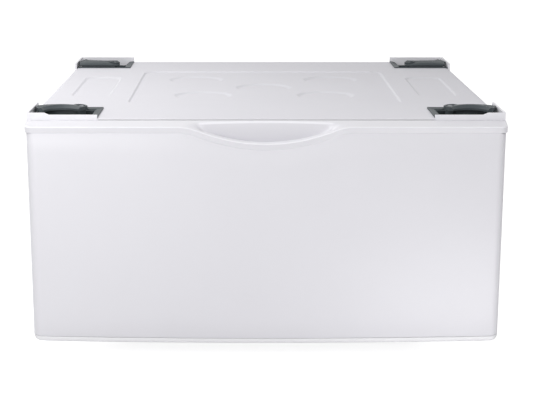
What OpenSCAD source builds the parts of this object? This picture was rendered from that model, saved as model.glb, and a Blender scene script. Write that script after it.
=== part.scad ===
// Laundry pedestal with a storage drawer. Millimetres, +Z up, +X to the right.
// The origin is on the floor, below the centre of the whole pedestal; the drawer faces -Y.

/* [Cabinet] */
// Width across the cabinet's sides
cabinet_w = 686; // [640:1:720]
// Depth from the deck's front edge to its rear edge
cabinet_d = 690; // [640:1:740]
// Height of the deck above the floor
deck_z = 352; // [340:1:400]
// Height of the cabinet's underside above the floor
cabinet_z = 28; // [27:0.5:32]
// Thickness of the deck's sheet steel
deck_t = 1.5; // [1.2:0.1:2]
// Thickness of the casing's sheet steel
sheet_t = 1.2; // [1:0.1:1.6]
// Radius of the deck's long side edges
edge_r = 8; // [5:0.5:10]
// Height of the deck's folded skirt
skirt_h = 30; // [20:1:40]
// Width of the casing's folded flanges
flange_w = 15; // [10:1:20]
// Height of the front and rear rails
rail_h = 30; // [24:1:36]
// Depth of the front and rear rails
rail_d = 40; // [30:1:45]

/* [Deck pressings] */
// Depth of the pressed panels and recesses
emboss_d = 3; // [1.5:0.5:5]
// Width of the central panel
middle_w = 420; // [300:5:440]
// Distance of the central panel from the front edge
middle_front = 150; // [120:5:180]
// Distance of the central panel from the rear edge
middle_rear = 145; // [120:5:180]
// Corner radius of the pressed panels
emboss_r = 25; // [15:1:30]
// Width of each side panel
side_emboss_w = 65; // [50:1:70]
// Distance of each side panel from the cabinet's side
side_emboss_in = 37; // [30:1:40]
// Distance of the side panels from the front and rear edges
side_emboss_end = 225; // [200:5:250]
// Radius of the round recesses
dimple_r = 47; // [30:1:50]
// Sideways distance of the front pair of round recesses
front_dimple_x = 88; // [80:1:110]
// Sideways distance of the rear pair of round recesses
rear_dimple_x = 115; // [100:1:140]
// Distance of the front pair from the deck's front edge
front_dimple_y = 243; // [225:1:250]
// Distance from each row of round recesses to the next
dimple_step = 97; // [94:1:100]

/* [Drawer front] */
// Thickness of the drawer front
front_t = 28.5; // [26:0.5:34]
// Gap between the drawer front and the deck
front_gap = 2.5; // [2:0.1:5]
// Drop from the deck to the cap's rear edge
cap_drop = 2; // [0:0.5:6]
// Drop from the deck to the cap's front edge
lip_drop = 7.3; // [6:0.1:12]
// Radius of the cap's front corners, seen from above
cap_corner_r = 10; // [6:0.5:12]
// Radius of the cap's front edge
lip_r = 2.5; // [1:0.5:3]
// Height of the cap's front band
band_h = 9.3; // [7:0.1:12]
// Wall thickness of the plastic cap and trim
plastic_t = 2.5; // [2:0.1:3]
// Thickness of the cap's front band
lip_t = 2.7; // [2.4:0.1:3]
// Half width of the handle's curve where it leaves the lip
smile_half_w = 110; // [90:1:130]
// Depth of the handle's curve below the lip
smile_dip = 24.4; // [16:0.1:30]
// Radius that blends the handle's curve into the lip
smile_blend_r = 80; // [60:1:100]
// Half width of the finger pocket
pocket_half_w = 100; // [80:1:108]
// Depth of the finger pocket below the lip
pocket_h = 46; // [42:1:60]
// Distance of the pocket's rear wall behind the front face, at the middle
pocket_d = 22.5; // [20:0.5:24]
// Gap between the front panel and the pocket's front wall
pocket_gap = 0.5; // [0.3:0.1:1]
// How much nearer to the face the pocket's rear wall is at its ends
pocket_bow = 7.5; // [4:0.5:9]
// Distance of the steel front panel's sides from the cap's ends
panel_in = 2; // [0.5:0.5:25]
// Step from the cap's face back to the panel's face
panel_step = 1; // [0.5:0.1:2]
// Radius of the panel's upright edges
panel_r = 12.5; // [8:0.5:16]
// Thickness of the panel's sheet steel
panel_t = 1.2; // [0.8:0.1:1.2]
// Visible joint between cap, panel and trim
joint_gap = 0.7; // [0.3:0.1:0.9]
// Height of the panel's lower edge above the floor, at the middle
panel_z = 33.7; // [32:0.1:36]
// Height of the lower trim
trim_h = 7.6; // [6:0.1:10]
// How much the lower edge rises towards its ends
lower_bow = 3.8; // [1:0.1:4]
// Distance of the trim's two tabs from the panel's sides
tab_in = 89; // [60:1:140]
// Width of the trim's tabs
tab_w = 12; // [8:1:20]
// Height of the inner skin's lower edge above the trim
pan_lift = 0.5; // [0.3:0.1:1]

/* [Drawer] */
// Distance of the drawer's sides from the cabinet's sides
drawer_in = 43; // [33:1:60]
// Length of the drawer
drawer_l = 570; // [560:1:600]
// Height of the drawer's sides
drawer_h = 220; // [150:1:235]
// Height of the drawer's floor above the floor
drawer_z = 64; // [62:0.5:68]
// Width of the hem along the drawer's upper edges
hem_w = 6; // [4:0.5:10]
// How far the drawer opens
drawer_travel = 480; // [400:10:500]

/* [Slides] */
// Height of each slide
slide_h = 45; // [44:0.5:50]
// Thickness of each slide
slide_t = 12.7; // [12.7:0.1:13.5]
// Length of each slide member
slide_l = 555; // [540:5:556]
// Length of the slide supports behind the slides
support_over = 20; // [10:1:30]
// Height of the slides' centre line above the floor
slide_z = 150; // [140:1:180]
// Thickness of the slide members
slide_sheet = 1.4; // [1.2:0.1:1.5]
// Radius of the balls
ball_r = 1.9; // [1.6:0.05:2]
// Gap between each ball and its tracks
ball_gap = 0.2; // [0.15:0.05:0.3]
// Distance from ball to ball along a cage
ball_pitch = 20; // [10:1:40]
// Length of the ball cages
cage_l = 200; // [150:5:220]
// Thickness of the ball cages
cage_t = 0.6; // [0.5:0.05:0.7]

/* [Corners] */
// Length of the brackets' walls
bracket_l = 101; // [98:1:106]
// Thickness of the brackets' walls
bracket_t = 3.5; // [3:0.1:4]
// Thickness of the brackets' base plates
bracket_base_t = 1.5; // [1.2:0.1:2]
// Height of the brackets' side and rear walls above the deck
wall_h = 9; // [6:0.5:10]
// Height of the brackets' front walls above the deck
front_wall_h = 5; // [3:0.5:8]
// Length of the front wall's raised end
front_step_l = 25; // [15:1:40]
// Depth of the corner pans below the deck
pan_depth = 14; // [12:0.5:16]
// Length of the corner pans, sideways
pan_u = 92; // [91:1:94]
// Length of the corner pans, front to back
pan_v = 89; // [88:1:92]
// Wall thickness of the trays
tray_t = 2.5; // [2:0.1:3]
// Width of the trays' flanges on the deck
tray_flange_w = 9; // [6:0.5:12]
// Height of the trays' flanges above the deck
tray_flange_h = 2; // [1:0.1:2.5]
// Distance of the seat's centre from the cabinet's side
seat_in = 46; // [44:0.5:47]
// Distance of the seat's centre from the cabinet's front or rear edge
seat_v = 33; // [32:0.5:36]
// Radius of the rubber seat pads
seat_r = 24; // [20:0.5:25]
// Thickness of the rubber seat pads
seat_t = 2; // [1.5:0.1:3]
// Clearance round seated pieces
seat_gap = 0.3; // [0.2:0.05:0.4]

/* [Clamps] */
// Distance of the clamp's pivot from the cabinet's side
pivot_u = 70; // [68:0.5:74]
// Distance of the clamp's pivot from the cabinet's front or rear edge
pivot_v = 70; // [68:0.5:72]
// Radius of the pivot pin
pin_r = 3; // [2.5:0.1:3.5]
// Radial running clearance of the pin in the clamp
pin_gap = 0.05; // [0.02:0.01:0.08]
// Radius of the round end about the pivot
clamp_boss_r = 10; // [9:0.5:11]
// Height of the clamp's crest above the deck
clamp_h = 10.5; // [9.5:0.5:14]
// Gap between the clamp and the tray's flange
clamp_lift = 1; // [0.5:0.1:1.5]
// Radius of the clamp's hollow round the seat
hollow_r = 27; // [26:0.5:29]
// Distance of the clamp's back from the cabinet's front or rear edge
clamp_back_v = 70; // [67:0.5:72]

/* [Feet] */
// Distance of each foot from the cabinet's side
foot_in = 55; // [45:1:60]
// Distance of each foot from the cabinet's front or rear edge
foot_back = 104; // [100:1:110]
// Radius of the foot pads
foot_r = 20; // [16:0.5:24]
// Height of the foot pads
foot_pad_h = 10; // [8:0.5:12]
// Radius of the foot bolts
bolt_r = 5; // [4:0.5:6]
// Length of the foot bolts above their hexagon
bolt_l = 38; // [34:1:44]
// Height of the foot bolts' hexagon
hex_h = 6; // [5:0.5:7]
// Radius of the foot bolts' neck, which turns in the pad
neck_r = 4; // [3:0.1:4.5]
// Radial running clearance of turning steel pieces
turn_gap = 0.05; // [0.02:0.01:0.08]
// Width across the nuts' corners
nut_w = 20; // [18:0.5:24]
// Height of the weld nuts
nut_h = 9; // [7:0.5:10]
// Height of the lock nuts
lock_nut_h = 6; // [4:0.5:7]
// Width of the foot plates
foot_plate_w = 97; // [80:1:110]
// Length of the foot plates, front to back
foot_plate_l = 150; // [135:1:170]
// Thickness of the foot plates
foot_plate_t = 3; // [2:0.1:4]

/* [Hidden] */
$fn = 48;
// Overshoot of a cut past the surface that it opens
e = 1;
half_w = cabinet_w / 2;
panel_half_w = half_w - panel_in;
total_d = front_t + front_gap + cabinet_d;
face_y = -total_d / 2;
front_back_y = face_y + front_t;
deck_front_y = front_back_y + front_gap;
deck_rear_y = total_d / 2;
// The casing stands inside the deck's skirt and the four corner pans rest on it
side_x = half_w - deck_t;
inner_x = side_x - sheet_t;
case_front_y = deck_front_y + deck_t;
case_rear_y = deck_rear_y - deck_t;
cap_z = deck_z - cap_drop;
lip_z = deck_z - lip_drop;
pan_z = deck_z - pan_depth;
case_top_z = pan_z - deck_t;
rim_z = deck_z - edge_r;
tray_floor_z = pan_z + bracket_base_t;
seat_z = tray_floor_z + tray_t;
flange_z = deck_z + tray_flange_h;
clamp_z = flange_z + clamp_lift;
clamp_top_z = deck_z + clamp_h;
// The pivot's round end is cut flat below the pin's head
clamp_boss_z = clamp_z + 3;
// The clamp's outer end passes the bracket's side wall as it turns
clamp_reach = pivot_u - bracket_t - clamp_lift;
// A shelf of the tray fills the space under the clamp's arm
shelf_u = 3 * bracket_t;
shelf_v = clamp_back_v - 2;
pin_head_r = 5.5;
pin_head_h = 1.8;
foot_plate_z = cabinet_z + sheet_t;
foot_seat_gap = 0.1;
hex_z = foot_pad_h + foot_seat_gap;
bolt_z = hex_z + hex_h;
neck_depth = 6.8;
wide_arc_fn = 360;
smile_r = (pow(smile_half_w, 2) + pow(smile_dip, 2)) / (2 * smile_dip);
// The curve leaves the lip at smile_end_x and turns into the wide arc at smile_touch_x
smile_end_x = sqrt(pow(smile_r + smile_blend_r, 2)
    - pow(smile_r - smile_dip + smile_blend_r, 2));
smile_touch_x = smile_end_x * smile_r / (smile_r + smile_blend_r);
// The cap is hollow from here to its ends
cap_in = smile_end_x + plastic_t;
screw_r = 1.9;
screw_gap = 0.2;
screw_head_r = 3.6;
screw_head_h = 1.3;
// Places of each corner bracket's two screws, from the cabinet's side and end
bracket_screws_at = [[pan_u - 16, pan_v - 69], [pan_u - 72, pan_v - 29]];
bracket_screw_drop = 9;
// Slide members nest from the cabinet side (outer) to the drawer side (inner)
track_gap = 2 * (ball_r + ball_gap);
outer_half_h = slide_h / 2;
middle_half_h = outer_half_h - slide_sheet - track_gap;
inner_half_h = middle_half_h - slide_sheet - track_gap;
outer_ball_z = outer_half_h - slide_sheet - track_gap / 2;
inner_ball_z = middle_half_h - slide_sheet - track_gap / 2;
cage_gap = 0.4;
middle_out_x = slide_t - slide_sheet - 2 * cage_gap - cage_t;
inner_out_x = middle_out_x - slide_sheet - 2 * cage_gap - cage_t;
flange_in_x = 2.6;
outer_ball_x = (flange_in_x + middle_out_x) / 2;
inner_ball_x = inner_out_x / 2 + 1;
slide_y = front_back_y + 6;
cage_y = slide_y + (slide_l - drawer_travel / 2 - cage_l) / 2 + drawer_travel / 4;
ball_count = floor((cage_l - 2 * ball_r) / ball_pitch);
drawer_half_w = half_w - drawer_in;
drawer_rear_y = front_back_y + drawer_l;
support_x = drawer_half_w + slide_t;
support_half_h = outer_half_h + 6;
support_foot = 12;
pan_flange = 11;
// Heights of the rear panel's screws, and those of the drawer front's screws and bumpers
case_h = case_top_z - cabinet_z;
rear_screws_z = [for (share = [0.2, 0.525, 0.85]) cabinet_z + share * case_h];
bumpers_z = [for (share = [0.2, 0.83]) cabinet_z + share * case_h];
front_screws_z = [for (share = [0.2, 0.8]) drawer_z + share * drawer_h];
front_screw_x = drawer_half_w * 0.9;
bumper_r = 6;
bumper_gap = 0.3;
CORNERS = [[-1, -1], [1, -1], [-1, 1], [1, 1]];

// A box between two corners
module block(x, y, z) {
    translate([x[0], y[0], z[0]]) cube([x[1] - x[0], y[1] - y[0], z[1] - z[0]]);
}

// A flat rectangle between two corners, with round corners
module round_rect(x, y, r) {
    translate([x[0] + r, y[0]]) square([x[1] - x[0] - 2 * r, y[1] - y[0]]);
    translate([x[0], y[0] + r]) square([x[1] - x[0], y[1] - y[0] - 2 * r]);
    for (cx = [x[0] + r, x[1] - r], cy = [y[0] + r, y[1] - r]) translate([cx, cy]) circle(r);
}

// A flat shape drawn in X and Z, drawn out along Y
module along_y(y) {
    translate([0, y[1], 0]) rotate([90, 0, 0]) linear_extrude(y[1] - y[0]) children();
}

// A flat shape drawn in Y and Z, drawn out along X
module along_x(x) {
    translate([x[0], 0, 0]) rotate([90, 0, 90]) linear_extrude(x[1] - x[0]) children();
}

// What is drawn for the right side, on side s
module on_side(s) {
    mirror([s < 0 ? 1 : 0, 0, 0]) children();
}

// A corner's own frame: X from the cabinet's side inwards, Y from its end inwards
module at_corner(c) {
    translate([c[0] * half_w, c[1] < 0 ? deck_front_y : deck_rear_y, 0])
        mirror([c[0] > 0 ? 1 : 0, 0, 0]) mirror([0, c[1] > 0 ? 1 : 0, 0]) children();
}

// ---------------------------------------------------------------- cabinet

// Outlines of the deck's pressings, grown by g
module middle_outline(g) {
    round_rect([-middle_w / 2 - g, middle_w / 2 + g],
        [deck_front_y + middle_front - g, deck_rear_y - middle_rear + g], emboss_r + g);
}

module side_outline(s, g) {
    on_side(s) round_rect(
        [half_w - side_emboss_in - side_emboss_w - g, half_w - side_emboss_in + g],
        [deck_front_y + side_emboss_end - g, deck_rear_y - side_emboss_end + g], emboss_r + g);
}

module dimple_outline(g) {
    y = deck_front_y + front_dimple_y;
    for (s = [-1, 1]) {
        translate([s * front_dimple_x, y]) circle(dimple_r + g);
        translate([s * rear_dimple_x, y + 2 * dimple_step]) circle(dimple_r + g);
    }
    translate([0, y + dimple_step]) circle(dimple_r + g);
}

// Sheet steel that follows a pressing of the given depth
module pressing_skin(depth) {
    translate([0, 0, deck_z - deck_t - depth]) linear_extrude(depth + deck_t / 2) children();
}

module pressing_cut(depth) {
    translate([0, 0, deck_z - depth]) linear_extrude(depth + e) children();
}

module deck_profile(inset) {
    intersection() {
        round_rect([-half_w + inset, half_w - inset],
            [deck_z - 2 * skirt_h - edge_r, deck_z - inset], edge_r - inset);
        translate([-cabinet_w, deck_z - skirt_h - (inset > 0 ? e : 0)])
            square([2 * cabinet_w, skirt_h + 2 * e]);
    }
}

module top_deck() {
    color("#f0f0f4") difference() {
        union() {
            difference() {
                along_y([deck_front_y, deck_rear_y]) deck_profile(0);
                along_y([deck_front_y + deck_t, deck_rear_y - deck_t]) deck_profile(deck_t);
            }
            pressing_skin(emboss_d) middle_outline(deck_t);
            for (s = [-1, 1]) pressing_skin(emboss_d) side_outline(s, deck_t);
            pressing_skin(2 * emboss_d) dimple_outline(deck_t);
            for (c = CORNERS) at_corner(c)
                block([deck_t / 2, pan_u + deck_t], [deck_t / 2, pan_v + deck_t],
                    [case_top_z, deck_z - deck_t / 2]);
        }
        pressing_cut(emboss_d) middle_outline(0);
        for (s = [-1, 1]) pressing_cut(emboss_d) side_outline(s, 0);
        pressing_cut(2 * emboss_d) dimple_outline(0);
        for (c = CORNERS) at_corner(c) {
            block([deck_t, pan_u], [deck_t, pan_v], [pan_z, deck_z + e]);
            block([-e, bracket_t], [-e, bracket_l], [rim_z, deck_z + e]);
            block([-e, bracket_l], [-e, bracket_t], [rim_z, deck_z + e]);
            bracket_screw_holes(case_top_z);
        }
    }
}

// The right side panel; its flanges stop short of the rails and the rear panel
module side_panel(s) {
    rail_front = case_front_y + rail_d;
    rail_rear = case_rear_y - sheet_t - rail_d;
    flange_x = side_x - flange_w;
    color("#ececf0") on_side(s) {
        block([inner_x, side_x], [case_front_y, case_rear_y], [cabinet_z, case_top_z]);
        block([flange_x, side_x], [rail_front, case_rear_y - sheet_t - flange_w],
            [case_top_z - sheet_t, case_top_z]);
        block([flange_x, side_x], [rail_front, rail_rear], [cabinet_z, cabinet_z + sheet_t]);
        block([flange_x, side_x], [case_front_y, case_front_y + sheet_t],
            [cabinet_z + rail_h, case_top_z - rail_h]);
        difference() {
            block([flange_x, side_x], [case_rear_y - 2 * sheet_t, case_rear_y - sheet_t],
                [cabinet_z + rail_h, case_top_z - sheet_t]);
            rear_screw_holes();
        }
    }
}

module rear_screw_places() {
    for (z = rear_screws_z) translate([inner_x - flange_w / 2, case_rear_y, z])
        rotate([-90, 0, 0]) children();
}

module rear_screw_holes() {
    rear_screw_places() translate([0, 0, -4 * sheet_t])
        cylinder(r = screw_r + screw_gap, h = 5 * sheet_t);
}

module rear_panel() {
    color("#e4e4e8") difference() {
        union() {
            block([-inner_x, inner_x], [case_rear_y - sheet_t, case_rear_y],
                [cabinet_z, case_top_z]);
            block([-inner_x, inner_x], [case_rear_y - sheet_t - flange_w, case_rear_y],
                [case_top_z - sheet_t, case_top_z]);
        }
        for (s = [-1, 1]) on_side(s) rear_screw_holes();
    }
}

// A channel across the cabinet, open to the inside; it faces the front
module rail(z) {
    block([-inner_x, inner_x], [0, sheet_t], [z, z + rail_h]);
    for (fz = [z, z + rail_h - sheet_t])
        block([-inner_x, inner_x], [0, rail_d], [fz, fz + sheet_t]);
}

module front_top_rail() {
    color("#dcdce0") difference() {
        translate([0, case_front_y, 0]) rail(case_top_z - rail_h);
        for (c = CORNERS) at_corner(c) bracket_screw_holes(case_top_z - sheet_t - e);
    }
}

module front_bottom_rail() {
    color("#dcdce0") translate([0, case_front_y, 0]) rail(cabinet_z);
}

module rear_bottom_rail() {
    color("#dcdce0") translate([0, case_rear_y - sheet_t, 0]) mirror([0, 1, 0])
        rail(cabinet_z);
}

// A hat channel that fills the space between the side panel and the slide
module slide_support(s) {
    y = [case_front_y + sheet_t, slide_y + slide_l + support_over];
    color("#b8bcc0") on_side(s) {
        block([support_x, support_x + sheet_t], y,
            [slide_z - support_half_h, slide_z + support_half_h]);
        for (k = [-1, 1]) translate([0, 0, slide_z]) mirror([0, 0, k < 0 ? 1 : 0]) {
            block([support_x, inner_x], y, [support_half_h - sheet_t, support_half_h]);
            block([inner_x - sheet_t, inner_x], y,
                [support_half_h - sheet_t, support_half_h + support_foot]);
        }
    }
}

module cabinet_screws() {
    color("#a8abb0") for (s = [-1, 1]) on_side(s) rear_screw_places() {
        cylinder(r = screw_head_r, h = screw_head_h);
        translate([0, 0, -4 * sheet_t]) cylinder(r = screw_r, h = 4 * sheet_t);
    }
}

// ---------------------------------------------------------------- feet

module at_feet() {
    for (c = CORNERS) at_corner(c) translate([foot_in, foot_back, 0]) children();
}

module foot_plates() {
    color("#b0b4b8") for (c = CORNERS) at_corner(c) {
        // The rear plates stop at the rear panel, which stands inside the casing
        v = deck_t + sheet_t + (c[1] > 0 ? sheet_t : 0);
        difference() {
            block([deck_t + sheet_t, deck_t + sheet_t + foot_plate_w],
                [v, v + foot_plate_l], [foot_plate_z, foot_plate_z + foot_plate_t]);
            translate([foot_in, foot_back, foot_plate_z - e])
                cylinder(r = bolt_r + 1, h = foot_plate_t + 2 * e);
        }
    }
}

module nut(h) {
    difference() {
        cylinder(d = nut_w, h = h, $fn = 6);
        translate([0, 0, -e]) cylinder(r = bolt_r + turn_gap, h = h + 2 * e);
    }
}

module foot_nuts() {
    color("#9a9ea4") at_feet() translate([0, 0, foot_plate_z + foot_plate_t]) nut(nut_h);
}

module lock_nuts() {
    color("#9a9ea4") at_feet() translate([0, 0, foot_plate_z - lock_nut_h]) nut(lock_nut_h);
}

module foot_pad(c) {
    color("#2c2e30") at_corner(c) translate([foot_in, foot_back, 0]) difference() {
        union() {
            cylinder(r = foot_r, h = foot_pad_h / 2);
            translate([0, 0, foot_pad_h / 2])
                cylinder(r1 = foot_r, r2 = foot_r - 4, h = foot_pad_h / 2);
        }
        translate([0, 0, foot_pad_h - neck_depth - 2 * foot_seat_gap])
            cylinder(r = neck_r + turn_gap, h = foot_pad_h);
    }
}

module foot_bolt(c) {
    color("#a4a8ac") at_corner(c) translate([foot_in, foot_back, 0]) {
        translate([0, 0, hex_z - neck_depth]) cylinder(r = neck_r, h = neck_depth);
        translate([0, 0, hex_z]) cylinder(d = nut_w, h = hex_h, $fn = 6);
        translate([0, 0, bolt_z]) cylinder(r = bolt_r, h = bolt_l);
    }
}

// ---------------------------------------------------------------- deck corners

module bracket_screw_holes(z) {
    for (p = bracket_screws_at) translate([p[0], p[1], z - e])
        cylinder(r = screw_r + screw_gap, h = seat_z - z + 2 * e);
}

// The front brackets' front wall is lower than the others, with a raised outer end
module corner_bracket(c) {
    end_h = c[1] < 0 ? front_wall_h : wall_h;
    slope_l = 7;
    inside = deck_t + seat_gap;
    color("#f4f4f6") at_corner(c) difference() {
        union() {
            block([inside, pan_u - seat_gap], [inside, pan_v - seat_gap],
                [pan_z, pan_z + bracket_base_t]);
            block([inside, bracket_t], [inside, pan_v - seat_gap], [pan_z, rim_z]);
            block([inside, pan_u - seat_gap], [inside, bracket_t], [pan_z, rim_z]);
            block([0, bracket_t], [0, bracket_l], [rim_z, deck_z + wall_h]);
            along_y([0, bracket_t]) polygon([
                [0, rim_z], [bracket_l, rim_z], [bracket_l, deck_z + end_h],
                [front_step_l + slope_l, deck_z + end_h],
                [front_step_l, deck_z + max(end_h, wall_h - 1)],
                [0, deck_z + max(end_h, wall_h - 1)]]);
        }
        bracket_screw_holes(pan_z);
    }
}

module bracket_screws() {
    color("#a8abb0") for (c = CORNERS) at_corner(c)
        for (p = bracket_screws_at) translate([p[0], p[1], seat_z]) {
            cylinder(r = screw_head_r, h = screw_head_h);
            translate([0, 0, -bracket_screw_drop]) cylinder(r = screw_r, h = bracket_screw_drop);
        }
}

// A dark tray with a raised flange along its two inner sides and a boss for the clamp's pin
module foot_tray(c) {
    u0 = bracket_t + seat_gap;
    u1 = pan_u - seat_gap;
    v1 = pan_v - seat_gap;
    rim_h = 4;
    color("#5c6468") at_corner(c) difference() {
        union() {
            difference() {
                block([u0, u1], [u0, v1], [tray_floor_z, deck_z + e / 2]);
                block([u0 + tray_t, u1 - tray_t], [u0 + tray_t, v1 - tray_t],
                    [seat_z, flange_z + e]);
                block([u0 - e, u1 - tray_t], [u0 - e, u0 + tray_t],
                    [seat_z + rim_h, flange_z + e]);
                block([u0 - e, u0 + tray_t], [u0 - e, v1 - tray_t],
                    [seat_z + rim_h, flange_z + e]);
            }
            difference() {
                block([u0, pan_u + tray_flange_w], [u0, pan_v + tray_flange_w],
                    [deck_z, flange_z]);
                block([u0 - e, u1 - tray_t], [u0 - e, v1 - tray_t], [deck_z - e, flange_z + e]);
            }
            translate([pivot_u, pivot_v, seat_z - e / 2])
                cylinder(r = pin_r + 4, h = clamp_z - 0.4 - seat_z + e / 2);
            difference() {
                block([shelf_u, pivot_u], [shelf_v, v1], [seat_z - e / 2, flange_z]);
                block([shelf_u + tray_t, pivot_u + e], [shelf_v + tray_t, v1 - tray_t],
                    [seat_z - e, flange_z - tray_t]);
            }
            translate([seat_in, seat_v, seat_z - e / 2]) difference() {
                cylinder(r = seat_r + seat_gap + 1.6, h = seat_t + e / 2);
                translate([0, 0, -e]) cylinder(r = seat_r + seat_gap, h = seat_t + 3 * e);
            }
        }
        translate([pivot_u, pivot_v, tray_floor_z - e])
            cylinder(r = pin_r + 0.02, h = clamp_z - tray_floor_z + e);
        bracket_screw_holes(tray_floor_z);
    }
}

module seat_pad(c) {
    color("#34383a") at_corner(c) translate([seat_in, seat_v, seat_z])
        cylinder(r = seat_r, h = seat_t);
}

module clamp_pins() {
    color("#a4a8ac") for (c = CORNERS) at_corner(c) translate([pivot_u, pivot_v, 0]) {
        translate([0, 0, tray_floor_z]) cylinder(r = pin_r, h = clamp_boss_z + 0.2 - tray_floor_z);
        translate([0, 0, clamp_boss_z + 0.1]) cylinder(r = pin_head_r, h = pin_head_h);
    }
}

// Flat outline of the clamp: a straight back, a round end at the pivot, an outer grip
module clamp_outline() {
    horn_v = seat_v + 5;
    difference() {
        union() {
            translate([pivot_u, pivot_v]) circle(clamp_boss_r);
            intersection() {
                translate([pivot_u, pivot_v]) circle(clamp_reach, $fn = wide_arc_fn);
                polygon([
                    [0, clamp_back_v], [0, horn_v], [seat_in, horn_v],
                    [pivot_u - 7, seat_v + 8], [pivot_u + 4, seat_v + 18],
                    [pivot_u + clamp_boss_r - 0.5, pivot_v], [pivot_u, clamp_back_v]]);
            }
        }
        translate([seat_in, seat_v]) circle(hollow_r);
    }
}

// The crest is a shallow arch; a cone opens the hollow upwards
module foot_clamp(c) {
    crest_r = 300;
    crest_u = (pivot_u + shelf_u) / 2;
    scoop_z = clamp_z + 2;
    color("#566064") at_corner(c) difference() {
        intersection() {
            translate([0, 0, clamp_z]) linear_extrude(clamp_h) clamp_outline();
            along_y([0, bracket_l]) translate([crest_u, clamp_top_z - crest_r])
                circle(crest_r, $fn = wide_arc_fn);
        }
        translate([seat_in, seat_v, scoop_z])
            cylinder(r1 = hollow_r - 1, r2 = hollow_r + 6, h = clamp_top_z + e - scoop_z);
        translate([pivot_u, pivot_v, clamp_z - e])
            cylinder(r = pin_r + pin_gap, h = clamp_h + 2 * e);
        translate([pivot_u, pivot_v, clamp_boss_z]) cylinder(r = pin_head_r + 1.2, h = clamp_h);
    }
}

// ---------------------------------------------------------------- slides

// A channel along the slide: web from x[0] to x[1], flanges from f[0] to f[1]
module slide_channel(x, f, half_h) {
    y = [slide_y, slide_y + slide_l];
    block(x, y, [-half_h, half_h]);
    for (z = [-half_h, half_h - slide_sheet]) block(f, y, [z, z + slide_sheet]);
}

module on_slide(s) {
    on_side(s) translate([drawer_half_w, 0, slide_z]) children();
}

module slide_outer(s) {
    color("#b4b8bc") on_slide(s)
        slide_channel([slide_t - slide_sheet, slide_t], [flange_in_x, slide_t], outer_half_h);
}

module slide_middle(s) {
    color("#c0c4c8") on_slide(s) slide_channel(
        [middle_out_x - slide_sheet, middle_out_x], [flange_in_x, middle_out_x], middle_half_h);
}

module slide_inner(s) {
    color("#b4b8bc") on_slide(s)
        slide_channel([0, slide_sheet], [0, inner_out_x], inner_half_h);
}

// A strip of sheet with two rows of balls: its web at x, its balls at ball_x and height z
module ball_cage(s, x, ball_x, z) {
    strip_in = ball_x - ball_r - 0.8;
    color("#8c9094") on_slide(s) translate([0, cage_y, 0]) {
        block([x, x + cage_t], [0, cage_l], [-z - cage_t / 2, z + cage_t / 2]);
        for (k = [-1, 1]) difference() {
            block([strip_in, x + cage_t / 2], [0, cage_l], [k * z - cage_t / 2, k * z + cage_t / 2]);
            for (i = [1 : ball_count]) translate([ball_x, (i - 0.5) * ball_pitch, k * z])
                cylinder(r = ball_r + 0.1, h = 2 * e, center = true);
        }
        for (k = [-1, 1], i = [1 : ball_count])
            translate([ball_x, (i - 0.5) * ball_pitch, k * z]) sphere(ball_r);
    }
}

// ---------------------------------------------------------------- drawer front

// Height of the handle's curve at x, for a lip at height z: a wide arc, blended into the lip
function smile_z(z, x) = abs(x) < smile_touch_x
    ? z - smile_dip + smile_r - sqrt(pow(smile_r, 2) - pow(x, 2))
    : z - smile_blend_r + sqrt(pow(smile_blend_r, 2) - pow(smile_end_x - abs(x), 2));

// The space over the handle's curve, up to the given height above the lip
module smile(z, above = e) {
    n = 24;
    line = [for (i = [-n : n]) [smile_end_x * i / n, smile_z(z, smile_end_x * i / n)]];
    polygon(concat([[-smile_end_x, z + above]], line, [[smile_end_x, z + above]]));
}

// The front's outline seen from above, with round front corners of radius r
module front_plan(half, y, r) {
    intersection() {
        round_rect([-half, half], [y[0], y[1] + 2 * r], r);
        translate([-half, y[0]]) square([2 * half, y[1] - y[0]]);
    }
}

module cap_profile(inset) {
    y0 = face_y + inset;
    y1 = front_back_y - inset;
    bottom = lip_z - band_h - (inset > 0 ? e : 0);
    slope = (cap_z - lip_z) / (front_t - lip_r);
    top0 = lip_z - inset;
    top1 = cap_z - inset;
    polygon([[y0, bottom], [y0, top0 - lip_r], [y0 + lip_r * 0.3, top0 - lip_r * 0.3],
        [y0 + lip_r, top0], [y1, top0 + slope * (y1 - y0 - lip_r)], [y1, bottom]]);
}

module cap_solid(inset) {
    intersection() {
        along_x([-half_w + inset, half_w - inset]) cap_profile(inset);
        linear_extrude(cap_z + e)
            front_plan(half_w - inset, [face_y + inset, front_back_y - inset],
                cap_corner_r - inset);
    }
}

// Width of the pocket at height z, as a round bowl seen from the front
module pocket_bowl(grow) {
    bowl_r = (pow(pocket_half_w, 2) + pow(pocket_h, 2)) / (2 * pocket_h);
    translate([0, lip_z - pocket_h + bowl_r]) circle(bowl_r + grow, $fn = wide_arc_fn);
}

// The pocket seen from above: its rear wall is a shallow arch
module pocket_plan(grow) {
    arch_r = (pow(pocket_half_w, 2) + pow(pocket_bow, 2)) / (2 * pocket_bow);
    y0 = face_y + panel_step + panel_t + pocket_gap + plastic_t - grow;
    half = pocket_half_w + grow;
    intersection() {
        translate([-half, y0]) square([2 * half, front_t]);
        translate([0, face_y + pocket_d - arch_r]) circle(arch_r + grow, $fn = wide_arc_fn);
    }
}

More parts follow.
